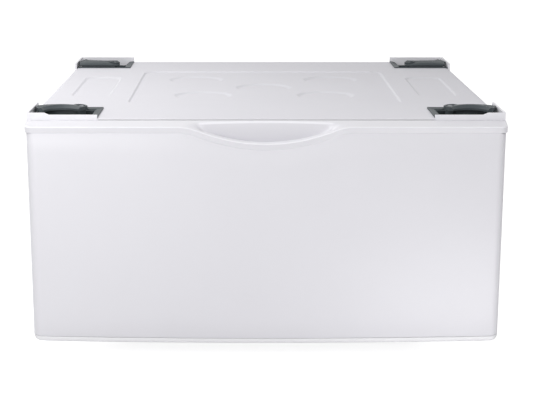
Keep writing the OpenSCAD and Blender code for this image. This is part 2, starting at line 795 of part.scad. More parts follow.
module handle_cap() {
    band_z = lip_z - band_h;
    color("#f6f6f8") difference() {
        union() {
            difference() {
                cap_solid(0);
                for (s = [-1, 1]) on_side(s) intersection() {
                    cap_solid(plastic_t);
                    block([cap_in, cabinet_w], [face_y, front_back_y], [0, cap_z]);
                }
            }
            along_y([face_y, face_y + lip_t]) smile(band_z);
            intersection() {
                along_y([face_y, front_back_y]) pocket_bowl(plastic_t);
                linear_extrude(band_z + e) pocket_plan(plastic_t);
            }
        }
        along_y([face_y - e, face_y + lip_t + 2 * plastic_t]) smile(lip_z, cap_z - lip_z);
        intersection() {
            along_y([face_y, front_back_y]) pocket_bowl(0);
            linear_extrude(cap_z + e) pocket_plan(0);
        }
    }
}

// Lower edge of the drawer front at height z, which rises towards its ends
function lower_edge(z) = let (n = 16)
    [for (i = [-n : n]) [panel_half_w * i / n, z + lower_bow * pow(i / n, 2)]];

// The space below that edge
module below_edge(z) {
    polygon(concat(lower_edge(z), [[2 * half_w, z + lower_bow], [2 * half_w, -e],
        [-2 * half_w, -e], [-2 * half_w, z + lower_bow]]));
}

// A white steel skin: a broad face with its sides folded back
module front_panel() {
    face = face_y + panel_step;
    back = front_back_y - sheet_t;
    top = lip_z - band_h - joint_gap;
    color("#eeeef2") difference() {
        linear_extrude(top) difference() {
            front_plan(panel_half_w, [face, back], panel_r);
            front_plan(panel_half_w - panel_t, [face + panel_t, back + e], panel_r - panel_t);
        }
        along_y([face - e, face + 2 * panel_t]) smile(top);
        along_y([face - e, front_back_y + e]) below_edge(panel_z);
    }
}

// The inner skin closes the back of the drawer front and carries the drawer
module front_pan() {
    x = panel_half_w - panel_t;
    low = panel_z + lower_bow + pan_lift;
    top = lip_z - band_h;
    y = [front_back_y - pan_flange, front_back_y];
    color("#e2e2e6") difference() {
        union() {
            block([-x, x], [front_back_y - sheet_t, front_back_y], [low, top]);
            for (s = [-1, 1]) on_side(s) block([x - sheet_t, x], y, [low, top - joint_gap]);
            block([-x, x], y, [low, low + sheet_t]);
        }
        for (s = [-1, 1]) on_side(s) front_screw_holes();
    }
}

module bottom_trim() {
    top = panel_z - joint_gap;
    face = face_y + panel_step;
    back = front_back_y - sheet_t;
    low = panel_z + lower_bow + pan_lift;
    color("#d8d8dc") {
        difference() {
            linear_extrude(top + 2 * lower_bow) front_plan(panel_half_w, [face, back], panel_r);
            along_y([face - e, back + e]) below_edge(top - trim_h + joint_gap / 2);
            difference() {
                block([-cabinet_w, cabinet_w], [face - e, back + e], [0, deck_z]);
                along_y([face - e, back + e]) below_edge(top);
            }
            translate([0, 0, top - trim_h + lower_bow + plastic_t])
                linear_extrude(trim_h + lower_bow) front_plan(
                    panel_half_w - plastic_t, [face + plastic_t, back - plastic_t],
                    panel_r - plastic_t);
        }
        for (s = [-1, 1]) on_side(s) block([panel_half_w - tab_in - tab_w, panel_half_w - tab_in],
            [back - plastic_t, back], [top - plastic_t, low]);
    }
}

module front_screw_places() {
    for (z = front_screws_z) translate([front_screw_x, front_back_y + sheet_t, z])
        rotate([-90, 0, 0]) children();
}

module front_screw_holes() {
    front_screw_places() translate([0, 0, -3 * sheet_t])
        cylinder(r = screw_r + screw_gap, h = 4 * sheet_t);
}

module drawer_screws() {
    color("#a8abb0") for (s = [-1, 1]) on_side(s) front_screw_places() {
        cylinder(r = screw_head_r, h = screw_head_h);
        translate([0, 0, -3 * sheet_t]) cylinder(r = screw_r, h = 3 * sheet_t);
    }
}

// Rubber buffers between the drawer front and the casing's front flanges
module drawer_bumpers() {
    color("#303234") for (s = [-1, 1], z = bumpers_z)
        translate([s * (inner_x - flange_w / 2), front_back_y, z]) rotate([-90, 0, 0])
            cylinder(r = bumper_r, h = case_front_y - bumper_gap - front_back_y);
}

// ---------------------------------------------------------------- drawer box

module drawer_floor() {
    color("#dadade") block([-drawer_half_w, drawer_half_w], [front_back_y, drawer_rear_y],
        [drawer_z, drawer_z + sheet_t]);
}

// A side with a hem folded inwards along its upper edge
module drawer_side(s) {
    z = [drawer_z + sheet_t, drawer_z + drawer_h];
    y = [front_back_y, drawer_rear_y];
    color("#e0e0e4") on_side(s) {
        block([drawer_half_w - sheet_t, drawer_half_w], y, z);
        block([drawer_half_w - hem_w, drawer_half_w], y, [z[1] - sheet_t, z[1]]);
    }
}

// An end wall of the drawer, under the sides' hems
module drawer_end(y) {
    x = drawer_half_w - sheet_t;
    block([-x, x], y, [drawer_z + sheet_t, drawer_z + drawer_h - sheet_t]);
}

module drawer_back() {
    color("#dcdce0") drawer_end([drawer_rear_y - sheet_t, drawer_rear_y]);
}

module drawer_inner_front() {
    color("#dcdce0") difference() {
        drawer_end([front_back_y, front_back_y + sheet_t]);
        for (s = [-1, 1]) on_side(s) front_screw_holes();
    }
}

top_deck();
side_panel(-1);  // side_panel_left
side_panel(1);  // side_panel_right
rear_panel();
front_top_rail();
front_bottom_rail();
rear_bottom_rail();
slide_support(-1);  // slide_support_left
slide_support(1);  // slide_support_right
slide_outer(-1);  // slide_outer_left
slide_outer(1);  // slide_outer_right
foot_plates();
foot_nuts();
lock_nuts();
cabinet_screws();
bracket_screws();
clamp_pins();
corner_bracket(CORNERS[0]);  // corner_bracket_front_left
corner_bracket(CORNERS[1]);  // corner_bracket_front_right
corner_bracket(CORNERS[2]);  // corner_bracket_rear_left
corner_bracket(CORNERS[3]);  // corner_bracket_rear_right
foot_tray(CORNERS[0]);  // foot_tray_front_left
foot_tray(CORNERS[1]);  // foot_tray_front_right
foot_tray(CORNERS[2]);  // foot_tray_rear_left
foot_tray(CORNERS[3]);  // foot_tray_rear_right
seat_pad(CORNERS[0]);  // seat_pad_front_left
seat_pad(CORNERS[1]);  // seat_pad_front_right
seat_pad(CORNERS[2]);  // seat_pad_rear_left
seat_pad(CORNERS[3]);  // seat_pad_rear_right
foot_clamp(CORNERS[0]);  // foot_clamp_front_left
foot_clamp(CORNERS[1]);  // foot_clamp_front_right
foot_clamp(CORNERS[2]);  // foot_clamp_rear_left
foot_clamp(CORNERS[3]);  // foot_clamp_rear_right
foot_pad(CORNERS[0]);  // foot_pad_front_left
foot_pad(CORNERS[1]);  // foot_pad_front_right
foot_pad(CORNERS[2]);  // foot_pad_rear_left
foot_pad(CORNERS[3]);  // foot_pad_rear_right
foot_bolt(CORNERS[0]);  // foot_bolt_front_left
foot_bolt(CORNERS[1]);  // foot_bolt_front_right
foot_bolt(CORNERS[2]);  // foot_bolt_rear_left
foot_bolt(CORNERS[3]);  // foot_bolt_rear_right
slide_middle(-1);  // slide_middle_left
slide_middle(1);  // slide_middle_right
ball_cage(-1, middle_out_x + cage_gap, outer_ball_x, outer_ball_z);  // ball_cage_outer_left
ball_cage(1, middle_out_x + cage_gap, outer_ball_x, outer_ball_z);  // ball_cage_outer_right
ball_cage(-1, inner_out_x + cage_gap, inner_ball_x, inner_ball_z);  // ball_cage_inner_left
ball_cage(1, inner_out_x + cage_gap, inner_ball_x, inner_ball_z);  // ball_cage_inner_right
front_panel();
front_pan();
handle_cap();
bottom_trim();
drawer_floor();
drawer_side(-1);  // drawer_side_left
drawer_side(1);  // drawer_side_right
drawer_back();
drawer_inner_front();
slide_inner(-1);  // slide_inner_left
slide_inner(1);  // slide_inner_right
drawer_screws();
drawer_bumpers();
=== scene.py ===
import math

import bmesh
import bpy
import numpy as np
from mathutils import Matrix, Vector


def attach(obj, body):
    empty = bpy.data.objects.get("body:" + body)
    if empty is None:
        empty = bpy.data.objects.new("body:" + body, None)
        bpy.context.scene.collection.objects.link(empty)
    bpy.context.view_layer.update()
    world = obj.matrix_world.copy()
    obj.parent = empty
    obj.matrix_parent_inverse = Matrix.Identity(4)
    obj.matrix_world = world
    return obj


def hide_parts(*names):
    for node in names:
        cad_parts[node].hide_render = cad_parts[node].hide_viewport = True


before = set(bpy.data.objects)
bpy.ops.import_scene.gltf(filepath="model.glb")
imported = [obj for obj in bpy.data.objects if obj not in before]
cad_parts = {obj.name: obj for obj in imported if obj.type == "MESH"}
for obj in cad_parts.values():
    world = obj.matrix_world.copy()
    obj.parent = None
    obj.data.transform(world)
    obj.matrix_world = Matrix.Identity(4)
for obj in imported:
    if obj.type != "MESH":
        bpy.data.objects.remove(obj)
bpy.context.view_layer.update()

# Sizes in millimetres, as in the CAD model
MM = 0.001
HALF_W = 343.0
FRONT_Y, REAR_Y = -329.5, 360.5  # the deck's front and rear edges
FACE_Y, BACK_Y = -360.5, -332.0  # the drawer front's outer and inner faces
DECK_Z, PAN_Z, LEDGE_Z = 352.0, 338.0, 344.0  # deck, its corner pans, its lowered edges there
CASE_X, CASE_Z, CASE_TOP = 340.3, 28.0, 336.5  # the casing's inner sides, foot and top
CASE_H = CASE_TOP - CASE_Z
SHEET, DECK_SHEET, SLIDE_SHEET = 1.2, 1.4, 1.4
SLIDE_Z = 150.0  # height of the drawer slides' middle line

CORNERS = {
    "front_left": (-1, -1),
    "front_right": (1, -1),
    "rear_left": (-1, 1),
    "rear_right": (1, 1),
}
# Places in a corner's own frame: from the side inwards, from the end inwards
PIVOT, SEAT, FOOT = (70, 70), (46, 33), (55, 104)


# ---------------------------------------------------------------- materials

MIX_FACTOR, MIX_A, MIX_B, MIX_RESULT = 0, 6, 7, 2  # a Mix node's sockets for colours
VERY_FINE = 1500  # a grain past this scale is too fine to steer the roughness


def material(name, color, rough, metallic=0.0, spread=0.02, cloud=7.0, grain=700.0,
             bump=0.05, depth=0.0002, rough_spread=0.05, coat=0.0, stretch=(1, 1, 1),
             specks=0.0, detail=3.0, specular=0.5, coat_rough=0.12, edge=0.0):
    """A shader whose colour drifts in soft clouds and whose surface has a fine grain.

    spread is how far the colour drifts, cloud and grain are the noises' scales, specks darkens
    the colour by the grain, and edge lightens it as a painted highlight where the mesh marks it.
    """
    m = bpy.data.materials.new(name)
    m.use_nodes = True
    nodes, links = m.node_tree.nodes, m.node_tree.links
    shader = nodes["Principled BSDF"]
    shader.inputs["Metallic"].default_value = metallic
    shader.inputs["Coat Weight"].default_value = coat
    shader.inputs["Coat Roughness"].default_value = coat_rough
    shader.inputs["Specular IOR Level"].default_value = specular
    place = nodes.new("ShaderNodeTexCoord")
    warp = nodes.new("ShaderNodeMapping")
    warp.inputs["Scale"].default_value = stretch
    links.new(place.outputs["Object"], warp.inputs["Vector"])

    def noise(scale, octaves):
        n = nodes.new("ShaderNodeTexNoise")
        n.inputs["Scale"].default_value = scale
        n.inputs["Detail"].default_value = octaves
        links.new(warp.outputs["Vector"], n.inputs["Vector"])
        return n.outputs["Fac"]

    clouds, fine = noise(cloud, 3.0), noise(grain, detail)
    ramp = nodes.new("ShaderNodeValToRGB")
    low, high = ramp.color_ramp.elements
    low.position, high.position = 0.3, 0.7
    low.color = [max(0.0, c * (1 - spread)) for c in color] + [1]
    high.color = [min(1.0, c * (1 + spread)) for c in color] + [1]
    links.new(clouds, ramp.inputs["Fac"])
    base = ramp.outputs["Color"]
    if specks:
        mix = nodes.new("ShaderNodeMix")
        mix.data_type, mix.blend_type = "RGBA", "MULTIPLY"
        dots = nodes.new("ShaderNodeMapRange")
        dots.inputs["From Min"].default_value = 0.35
        dots.inputs["From Max"].default_value = 0.65
        dots.inputs["To Min"].default_value = 1 - specks
        links.new(fine, dots.inputs["Value"])
        mix.inputs[MIX_FACTOR].default_value = 1.0
        links.new(base, mix.inputs[MIX_A])
        links.new(dots.outputs["Result"], mix.inputs[MIX_B])
        base = mix.outputs[MIX_RESULT]
    # Painted highlight: a lighter copy of the colour is mixed in where the mesh's highlight
    # attribute marks it.
    if edge:
        highlight_share = nodes.new("ShaderNodeAttribute")
        highlight_share.attribute_name = "painted_highlight"
        light = nodes.new("ShaderNodeMix")
        light.data_type = "RGBA"
        light.inputs[MIX_B].default_value = [min(1.0, c * (1 + edge)) for c in color] + [1]
        links.new(highlight_share.outputs["Fac"], light.inputs[MIX_FACTOR])
        links.new(base, light.inputs[MIX_A])
        base = light.outputs[MIX_RESULT]
    links.new(base, shader.inputs["Base Color"])
    worn = nodes.new("ShaderNodeMapRange")
    worn.inputs["To Min"].default_value = rough - rough_spread
    worn.inputs["To Max"].default_value = rough + rough_spread
    links.new(clouds if grain > VERY_FINE else fine, worn.inputs["Value"])
    links.new(worn.outputs["Result"], shader.inputs["Roughness"])
    relief = nodes.new("ShaderNodeBump")
    relief.inputs["Strength"].default_value = bump
    relief.inputs["Distance"].default_value = depth
    links.new(fine, relief.inputs["Height"])
    links.new(relief.outputs["Normal"], shader.inputs["Normal"])
    return m


MATERIALS = {
    "painted_steel": material("painted_steel_enamel", (0.765, 0.756, 0.80), 0.52, spread=0.008,
                              grain=420, bump=0.10, specular=0.32),
    "painted_front": material("painted_front_enamel", (0.785, 0.777, 0.817), 0.42, spread=0.006,
                              grain=420, bump=0.08, specular=0.30),
    # The brackets' enamel is the deck's white made lighter, painted light on their walls, which
    # sit in shade.
    "bracket_painted_light": material("bracket_enamel_painted_light", (0.88, 0.872, 0.91), 0.45, spread=0.008,
                              grain=420, bump=0.10),
    # The cap's edge share is a painted highlight on its lip and on the pocket's brow.
    "cap_plastic": material("cap_moulded_plastic", (0.755, 0.747, 0.787), 0.34, spread=0.006,
                            grain=900, bump=0.06, coat=0.7, coat_rough=0.30, edge=0.19),
    "trim_plastic": material("trim_moulded_plastic", (0.82, 0.817, 0.84), 0.42, spread=0.01,
                             grain=1100, bump=0.12),
    "dark_plastic": material("slate_moulded_plastic", (0.072, 0.085, 0.093), 0.50, spread=0.10,
                             cloud=30, grain=1300, bump=0.35, depth=0.0003, specks=0.22,
                             specular=0.28),
    # A mid grey for the strip in the gap at the deck's front, painted shade for the gap's dark
    # line.
    "gap_shade_rubber": material("grey_gap_shade_rubber", (0.53, 0.525, 0.545), 0.65, spread=0.05,
                            grain=1200, bump=0.2),
    "dark_rubber": material("black_rubber", (0.032, 0.034, 0.037), 0.72, spread=0.12, cloud=40,
                            grain=1600, bump=0.4, depth=0.0003, specks=0.2),
    "drawer_steel": material("drawer_powder_coat", (0.66, 0.66, 0.68), 0.48, spread=0.012,
                             grain=800, bump=0.18, depth=0.0003),
    "zinc_steel": material("zinc_plated_steel", (0.56, 0.57, 0.59), 0.34, metallic=1.0,
                           spread=0.08, cloud=16, grain=260, bump=0.05, rough_spread=0.08,
                           stretch=(1, 0.12, 1)),
    "cage_steel": material("cage_oiled_steel", (0.42, 0.43, 0.45), 0.30, metallic=1.0,
                           spread=0.08, cloud=40, grain=500, bump=0.06, rough_spread=0.06),
}


# ---------------------------------------------------------------- mesh tools

WELD = 1e-6  # metres


def turn(n):
    """n angles round a circle."""
    return np.linspace(0, 2 * math.pi, n, endpoint=False)


def circle(place, r, z, n):
    return [place @ Vector((r * math.cos(a), r * math.sin(a), z)) for a in turn(n)]


class Shape:
    """Collects closed shells, in millimetres, for one mesh."""

    def __init__(self):
        self.verts, self.faces = [], []

    def add(self, verts, faces):
        """Adds one shell."""
        start = len(self.verts)
        self.verts += [tuple(v) for v in verts]
        self.faces += [[i + start for i in f] for f in faces]
        return self

    def loft(self, rings, caps=True, closed=True):
        """Rings of equal length, joined one to the next, with flat ends."""
        n, verts, faces = len(rings[0]), [], []
        for ring in rings:
            verts += [tuple(p) for p in ring]
        for k in range(len(rings) - 1):
            for i in range(n if closed else n - 1):
                j = (i + 1) % n
                faces.append([k * n + i, k * n + j, (k + 1) * n + j, (k + 1) * n + i])
        if caps:
            last = (len(rings) - 1) * n
            faces.append(list(range(n))[::-1])
            faces.append([last + i for i in range(n)])
        return self.add(verts, faces)

    def lathe(self, profile, place, n=48):
        """(radius, height) points turned about an axis; place maps local points."""
        return self.loft([circle(place, max(r, 0.001), z, n) for r, z in profile])

    def make(self, name, body, slot, nodes=(), angle=40.0):
        """The shells as one piece, in metres, with edges sharp past an angle."""
        mesh = bpy.data.meshes.new(name)
        mesh.from_pydata([[MM * c for c in v] for v in self.verts], [], self.faces)
        bm = bmesh.new()
        bm.from_mesh(mesh)
        bmesh.ops.remove_doubles(bm, verts=bm.verts, dist=WELD)
        bmesh.ops.dissolve_degenerate(bm, edges=bm.edges, dist=WELD)
        bmesh.ops.recalc_face_normals(bm, faces=bm.faces)
        bm.to_mesh(mesh)
        bm.free()
        return dress(mesh, name, body, slot, nodes, angle)


def dress(mesh, name, body, slot, nodes, angle, weighted=False):
    """Turns a mesh into a piece of the object that rides on a body."""
    mesh.shade_smooth()
    mesh.set_sharp_from_angle(angle=math.radians(angle))
    mesh.materials.clear()
    mesh.materials.append(MATERIALS[slot])
    obj = bpy.data.objects.new(name, mesh)
    bpy.context.scene.collection.objects.link(obj)
    if weighted:
        m = obj.modifiers.new("normals", "WEIGHTED_NORMAL")
        m.keep_sharp, m.weight = True, 100
        apply_modifiers(obj)
    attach(obj, body)
    if nodes:
        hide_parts(*nodes)
    return obj


def apply_modifiers(obj):
    """Bakes the modifiers into the mesh."""
    bpy.context.view_layer.update()
    done = bpy.data.meshes.new_from_object(
        obj.evaluated_get(bpy.context.evaluated_depsgraph_get()))
    obj.modifiers.clear()
    obj.data = done


def bevelled(name, node, body, slot, width=0.5, segments=2, look=None):
    """A piece with the node's shape, its edges rounded. look names another slot's material."""
    bm = bmesh.new()
    bm.from_mesh(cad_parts[node].data)
    bmesh.ops.remove_doubles(bm, verts=bm.verts, dist=2 * WELD)
    bmesh.ops.dissolve_limit(bm, angle_limit=math.radians(0.6), verts=bm.verts, edges=bm.edges)
    bmesh.ops.recalc_face_normals(bm, faces=bm.faces)
    sharp = [e for e in bm.edges
             if len(e.link_faces) == 2 and e.calc_face_angle(0) > math.radians(28.0)]
    bmesh.ops.bevel(bm, geom=sharp, offset=width * MM, segments=segments, profile=0.5,
                    affect="EDGES", clamp_overlap=True)
    bmesh.ops.remove_doubles(bm, verts=bm.verts, dist=WELD)
    bmesh.ops.dissolve_degenerate(bm, edges=bm.edges, dist=WELD)
    mesh = bpy.data.meshes.new(name)
    bm.to_mesh(mesh)
    bm.free()
    obj = dress(mesh, name, body, slot, [node], angle=38.0, weighted=True)
    if look:
        obj.data.materials[0] = MATERIALS[look]
    return obj


def corner_place(corner, u, v, z=0.0):
    """A point of a corner's own frame: u inwards from the side, v from the end."""
    sx, sy = CORNERS[corner]
    return Vector((sx * (HALF_W - u), (FRONT_Y + v) if sy < 0 else (REAR_Y - v), z))


def folded(path, t, r, steps=5):
    """Closed outline of sheet of thickness t along a path with bends of radius r."""
    pts = [np.array(p, float) for p in path]
    line = [pts[0]]
    for a, b, c in zip(pts, pts[1:], pts[2:]):
        p, q = (a - b) / np.linalg.norm(a - b), (c - b) / np.linalg.norm(c - b)
        half = math.acos(max(-1.0, min(1.0, float(p @ q)))) / 2
        back = min(r / math.tan(half), 0.45 * np.linalg.norm(a - b),
                   0.45 * np.linalg.norm(c - b))
        centre = b + (p + q) / np.linalg.norm(p + q) * back / math.cos(half)
        s, e = b + p * back - centre, b + q * back - centre
        for k in range(steps + 1):
            w = s * (1 - k / steps) + e * (k / steps)
            line.append(centre + w / np.linalg.norm(w) * np.linalg.norm(s))
    line.append(pts[-1])
    line = np.array(line)
    d = np.gradient(line, axis=0)
    d /= np.linalg.norm(d, axis=1)[:, None]
    nrm = np.stack([-d[:, 1], d[:, 0]], 1) * t / 2
    tip = d[-1] * t * 0.35
    tail = -d[0] * t * 0.35
    return [*(line + nrm), line[-1] + tip, *(line - nrm)[::-1], line[0] + tail]


def run(shape, outline, axis, lo, hi):
    """Draws a flat outline out along X, Y or Z."""
    def at(p, s):
        return {"x": (s, p[0], p[1]), "y": (p[0], s, p[1]), "z": (p[0], p[1], s)}[axis]
    return shape.loft([[at(p, s) for p in outline] for s in (lo, hi)])


def mirror_x(points, s):
    """An (x, z) outline for the right side, or with s = -1 for the left."""
    return [(s * p[0], p[1]) for p in points]


# ---------------------------------------------------------------- deck

EDGE_R = 8  # radius of the deck's side edges
BRACKET_L = 101  # length of the corner brackets' arms
PAN_U, PAN_V = (49.7, 46.7), (48.2, 45.2)  # a corner pan's centre and half size, both ways

# Pressed forms: centre, half sizes and corner radius, then depth and the slope's width
CENTRE_PANEL = ((0, 18, 210, 197.5, 25), 2.2, 3.2)
SIDE_PANEL = ((276.5, 15.5, 29.5, 120, 22), 2.2, 4)
RECESSES, RECESS_R = ((98, -75), (0, 21), (116, 119)), 43.5


def rounded(x, y, cx, cy, hx, hy, r):
    """Distance to a rounded rectangle, negative inside."""
    qx, qy = np.abs(x - cx) - (hx - r), np.abs(y - cy) - (hy - r)
    return np.hypot(np.maximum(qx, 0), np.maximum(qy, 0)) + np.minimum(np.maximum(qx, qy), 0) - r


def fall(d, width):
    """1 well inside an edge, 0 well outside, with a soft S between."""
    t = np.clip(0.5 - d / width, 0, 1)
    return t * t * (3 - 2 * t)


def pressings(x, y):
    """Depth of the deck's pressed forms: a central panel, a panel each side, five recesses."""
    depth = np.zeros_like(x)
    for across, (place, deep, slope) in ((x, CENTRE_PANEL), (np.abs(x), SIDE_PANEL)):
        depth += deep * fall(rounded(across, y, *place), slope)
    for cx, cy in RECESSES:
        depth += 2.4 * fall(np.hypot(np.abs(x) - cx, y - cy) - RECESS_R, 6)
    return depth


def lines(*spans):
    """Sorted values that fill each (low, high, step) span."""
    out = set()
    for lo, hi, step in spans:
        out |= set(np.round(np.linspace(lo, hi, max(2, int(round((hi - lo) / step)) + 1)), 3))
    return sorted(out)


def deck_stations():
    """The deck's cross-section from left to right: x, z and the outward normal's x and z."""
    across = lines((0, 165, 2.5), (165, 204, 7), (206, 214, 0.8), (216, 237, 7), (243, 251, 1),
                   (251, 302, 3), (302, 310, 1), (310, 335, 8))
    across = sorted(set(across) | {241.9, 242.1, 246.0, 247.4})
    half = [(HALF_W, z, 1, 0) for z in (322.0, 333.0, LEDGE_Z)]
    for a in range(15, 90, 15):
        c, s = math.cos(math.radians(a)), math.sin(math.radians(a))
        half.append((HALF_W - EDGE_R + EDGE_R * c, DECK_Z - EDGE_R + EDGE_R * s, c, s))
    half += [(x, DECK_Z, 0, 1) for x in across[::-1]]
    return [(-x, z, -nx, nz) for x, z, nx, nz in half][:-1] + half[::-1]


def deck_sections():
    """The deck's places from front to rear, and how far each end draws in."""
    rows = lines((-325.8, -242, 9), (-240.5, -190, 8), (-184, -174, 0.8), (-173, 209, 2.5),
                 (211, 220, 0.8), (226, 271, 8), (273, 356.8, 9))
    rows = sorted(set(rows) | {-328.0, -326.2, -236.9, -235.3, -228.6, -228.4, 259.4, 259.6,
                               266.3, 267.9, 357.2, 359.0})
    return [(FRONT_Y, 1.5), (FRONT_Y + 0.44, 0.44)] + [(y, 0.0) for y in rows] + \
        [(REAR_Y - 0.44, 0.44), (REAR_Y, 1.5)]


def deck():
    """The pressed sheet of the deck, and a grey strip in the gap in front of it as painted shade.
    """
    sx, sz, nx, nz = np.array(deck_stations()).T
    top = sz > LEDGE_Z + 0.5
    u = HALF_W - np.abs(sx)
    rings = []
    for y, inset in deck_sections():
        x, z = sx - nx * inset, sz - nz * inset
        v = min(y - FRONT_Y, REAR_Y - y)
        z = np.where(top, z - pressings(sx, np.full_like(sx, y)), z)
        if v < BRACKET_L:
            z = np.where(top & (u < 3.4), np.minimum(z, LEDGE_Z), z)
        if v < 3.5:
            z = np.where(top & (u < BRACKET_L), np.minimum(z, LEDGE_Z), z)
        pan = np.maximum(np.abs(u - PAN_U[0]) - PAN_U[1], abs(v - PAN_V[0]) - PAN_V[1])
        z = np.where(top, z - (z - PAN_Z) * fall(pan, 1.4), z)
        rings.append([(a, y, b) for a, b in zip(x, z)])
    sheet = Shape().loft(rings, caps=True, closed=False).make(
        "deck_sheet", "cabinet", "painted_steel", ["top_deck"], angle=50)
    solid = sheet.modifiers.new("sheet", "SOLIDIFY")
    solid.thickness, solid.offset = DECK_SHEET * MM, -1
    apply_modifiers(sheet)
    sheet.data.set_sharp_from_angle(angle=math.radians(50))

    # A grey rubber strip in the gap between the deck and the cap, put there as painted shade for
    # the gap's dark line.
    outline = [(-329.6, 341.0), (-331.2, 341.0), (-331.6, 342.0), (-331.6, 350.0),
               (-331.2, 350.6), (-330.4, 350.8), (-329.6, 350.7)]
    shade_strip = run(Shape(), outline, "x", -240.0, 240.0).make("gap_shade_strip", "cabinet",
                                                          "dark_rubber", angle=45)
    shade_strip.data.materials[0] = MATERIALS["gap_shade_rubber"]


# ---------------------------------------------------------------- drawer front

# The handle's curve: its half width and depth, and the radius that blends it into the edge
SMILE_HALF, SMILE_DIP, BLEND_R = 110.0, 24.4, 80.0
SMILE_R = (SMILE_HALF ** 2 + SMILE_DIP ** 2) / (2 * SMILE_DIP)
SMILE_END = math.sqrt((SMILE_R + BLEND_R) ** 2 - (SMILE_R - SMILE_DIP + BLEND_R) ** 2)
SMILE_TOUCH = SMILE_END * SMILE_R / (SMILE_R + BLEND_R)

# The cap: its corners' radius, foot, lip, and the rise of its top from the lip to the rear
CAP_R, CAP_FOOT_Z, CAP_LIP_Z, CAP_RISE = 10, 335.4, 344.7, 5.3
WALL_Y, WALL_R, WALL_X = -338.0, 670.4, 130  # the pocket's rear wall, an arc in plan
FLOOR_Z, FLOOR_R, FLOOR_X = 430.4, 131.7, 100  # its floor, an arc round a line at FLOOR_Z
# Points of cap_section's outside that get a painted highlight, lighter in colour, and by what
# share
LIP_HIGHLIGHT = ((3, 0.35), (4, 1.0), (5, 1.0), (6, 0.2))
BROW_HIGHLIGHT = ((18, 0.8), (19, 1.0), (20, 0.25))

PANEL_HALF, PANEL_R, PANEL_LOW, PANEL_TOP = 341.0, 12.5, 32.8, 335.3
FOOT_TAPER, TAPER_H = 2.0, 302.0  # the skin is this much narrower a side at its foot
TRIM_HALF, TRIM_LOW, TRIM_TOP = 339.0, 25.45, 32.45


def smile(z, x):
    """Height at x of the handle's curve, for a straight edge at height z."""
    x = abs(x)
    if x < SMILE_TOUCH:
        return z - SMILE_DIP + SMILE_R - math.sqrt(SMILE_R ** 2 - x ** 2)
    if x < SMILE_END:
        return z - BLEND_R + math.sqrt(BLEND_R ** 2 - (SMILE_END - x) ** 2)
    return z


def ease(x, lo, hi):
    """0 below lo, 1 above hi, with a soft S between."""
    t = min(1.0, max(0.0, (x - lo) / (hi - lo)))
    return t * t * (3 - 2 * t)


def corner_front(x, half, r, face):
    """Y of the front's plan outline at x."""
    over = abs(x) - (half - r)
    return face if over <= 0 else face + r - math.sqrt(max(0.0, r * r - over * over))


def stations(half, r):
    """Places across the front, denser at the handle and round the corners."""
    inner = list(np.arange(0, 129, 2.3)) + [132, 150, 190, 230, 270, 305, 325]
    arc = [half - r + r * math.sin(a) for a in np.linspace(0, math.pi / 2, 12)]
    xs = sorted(set(np.round(inner + arc, 3)))
    return [-x for x in xs[::-1] if x > 0] + xs


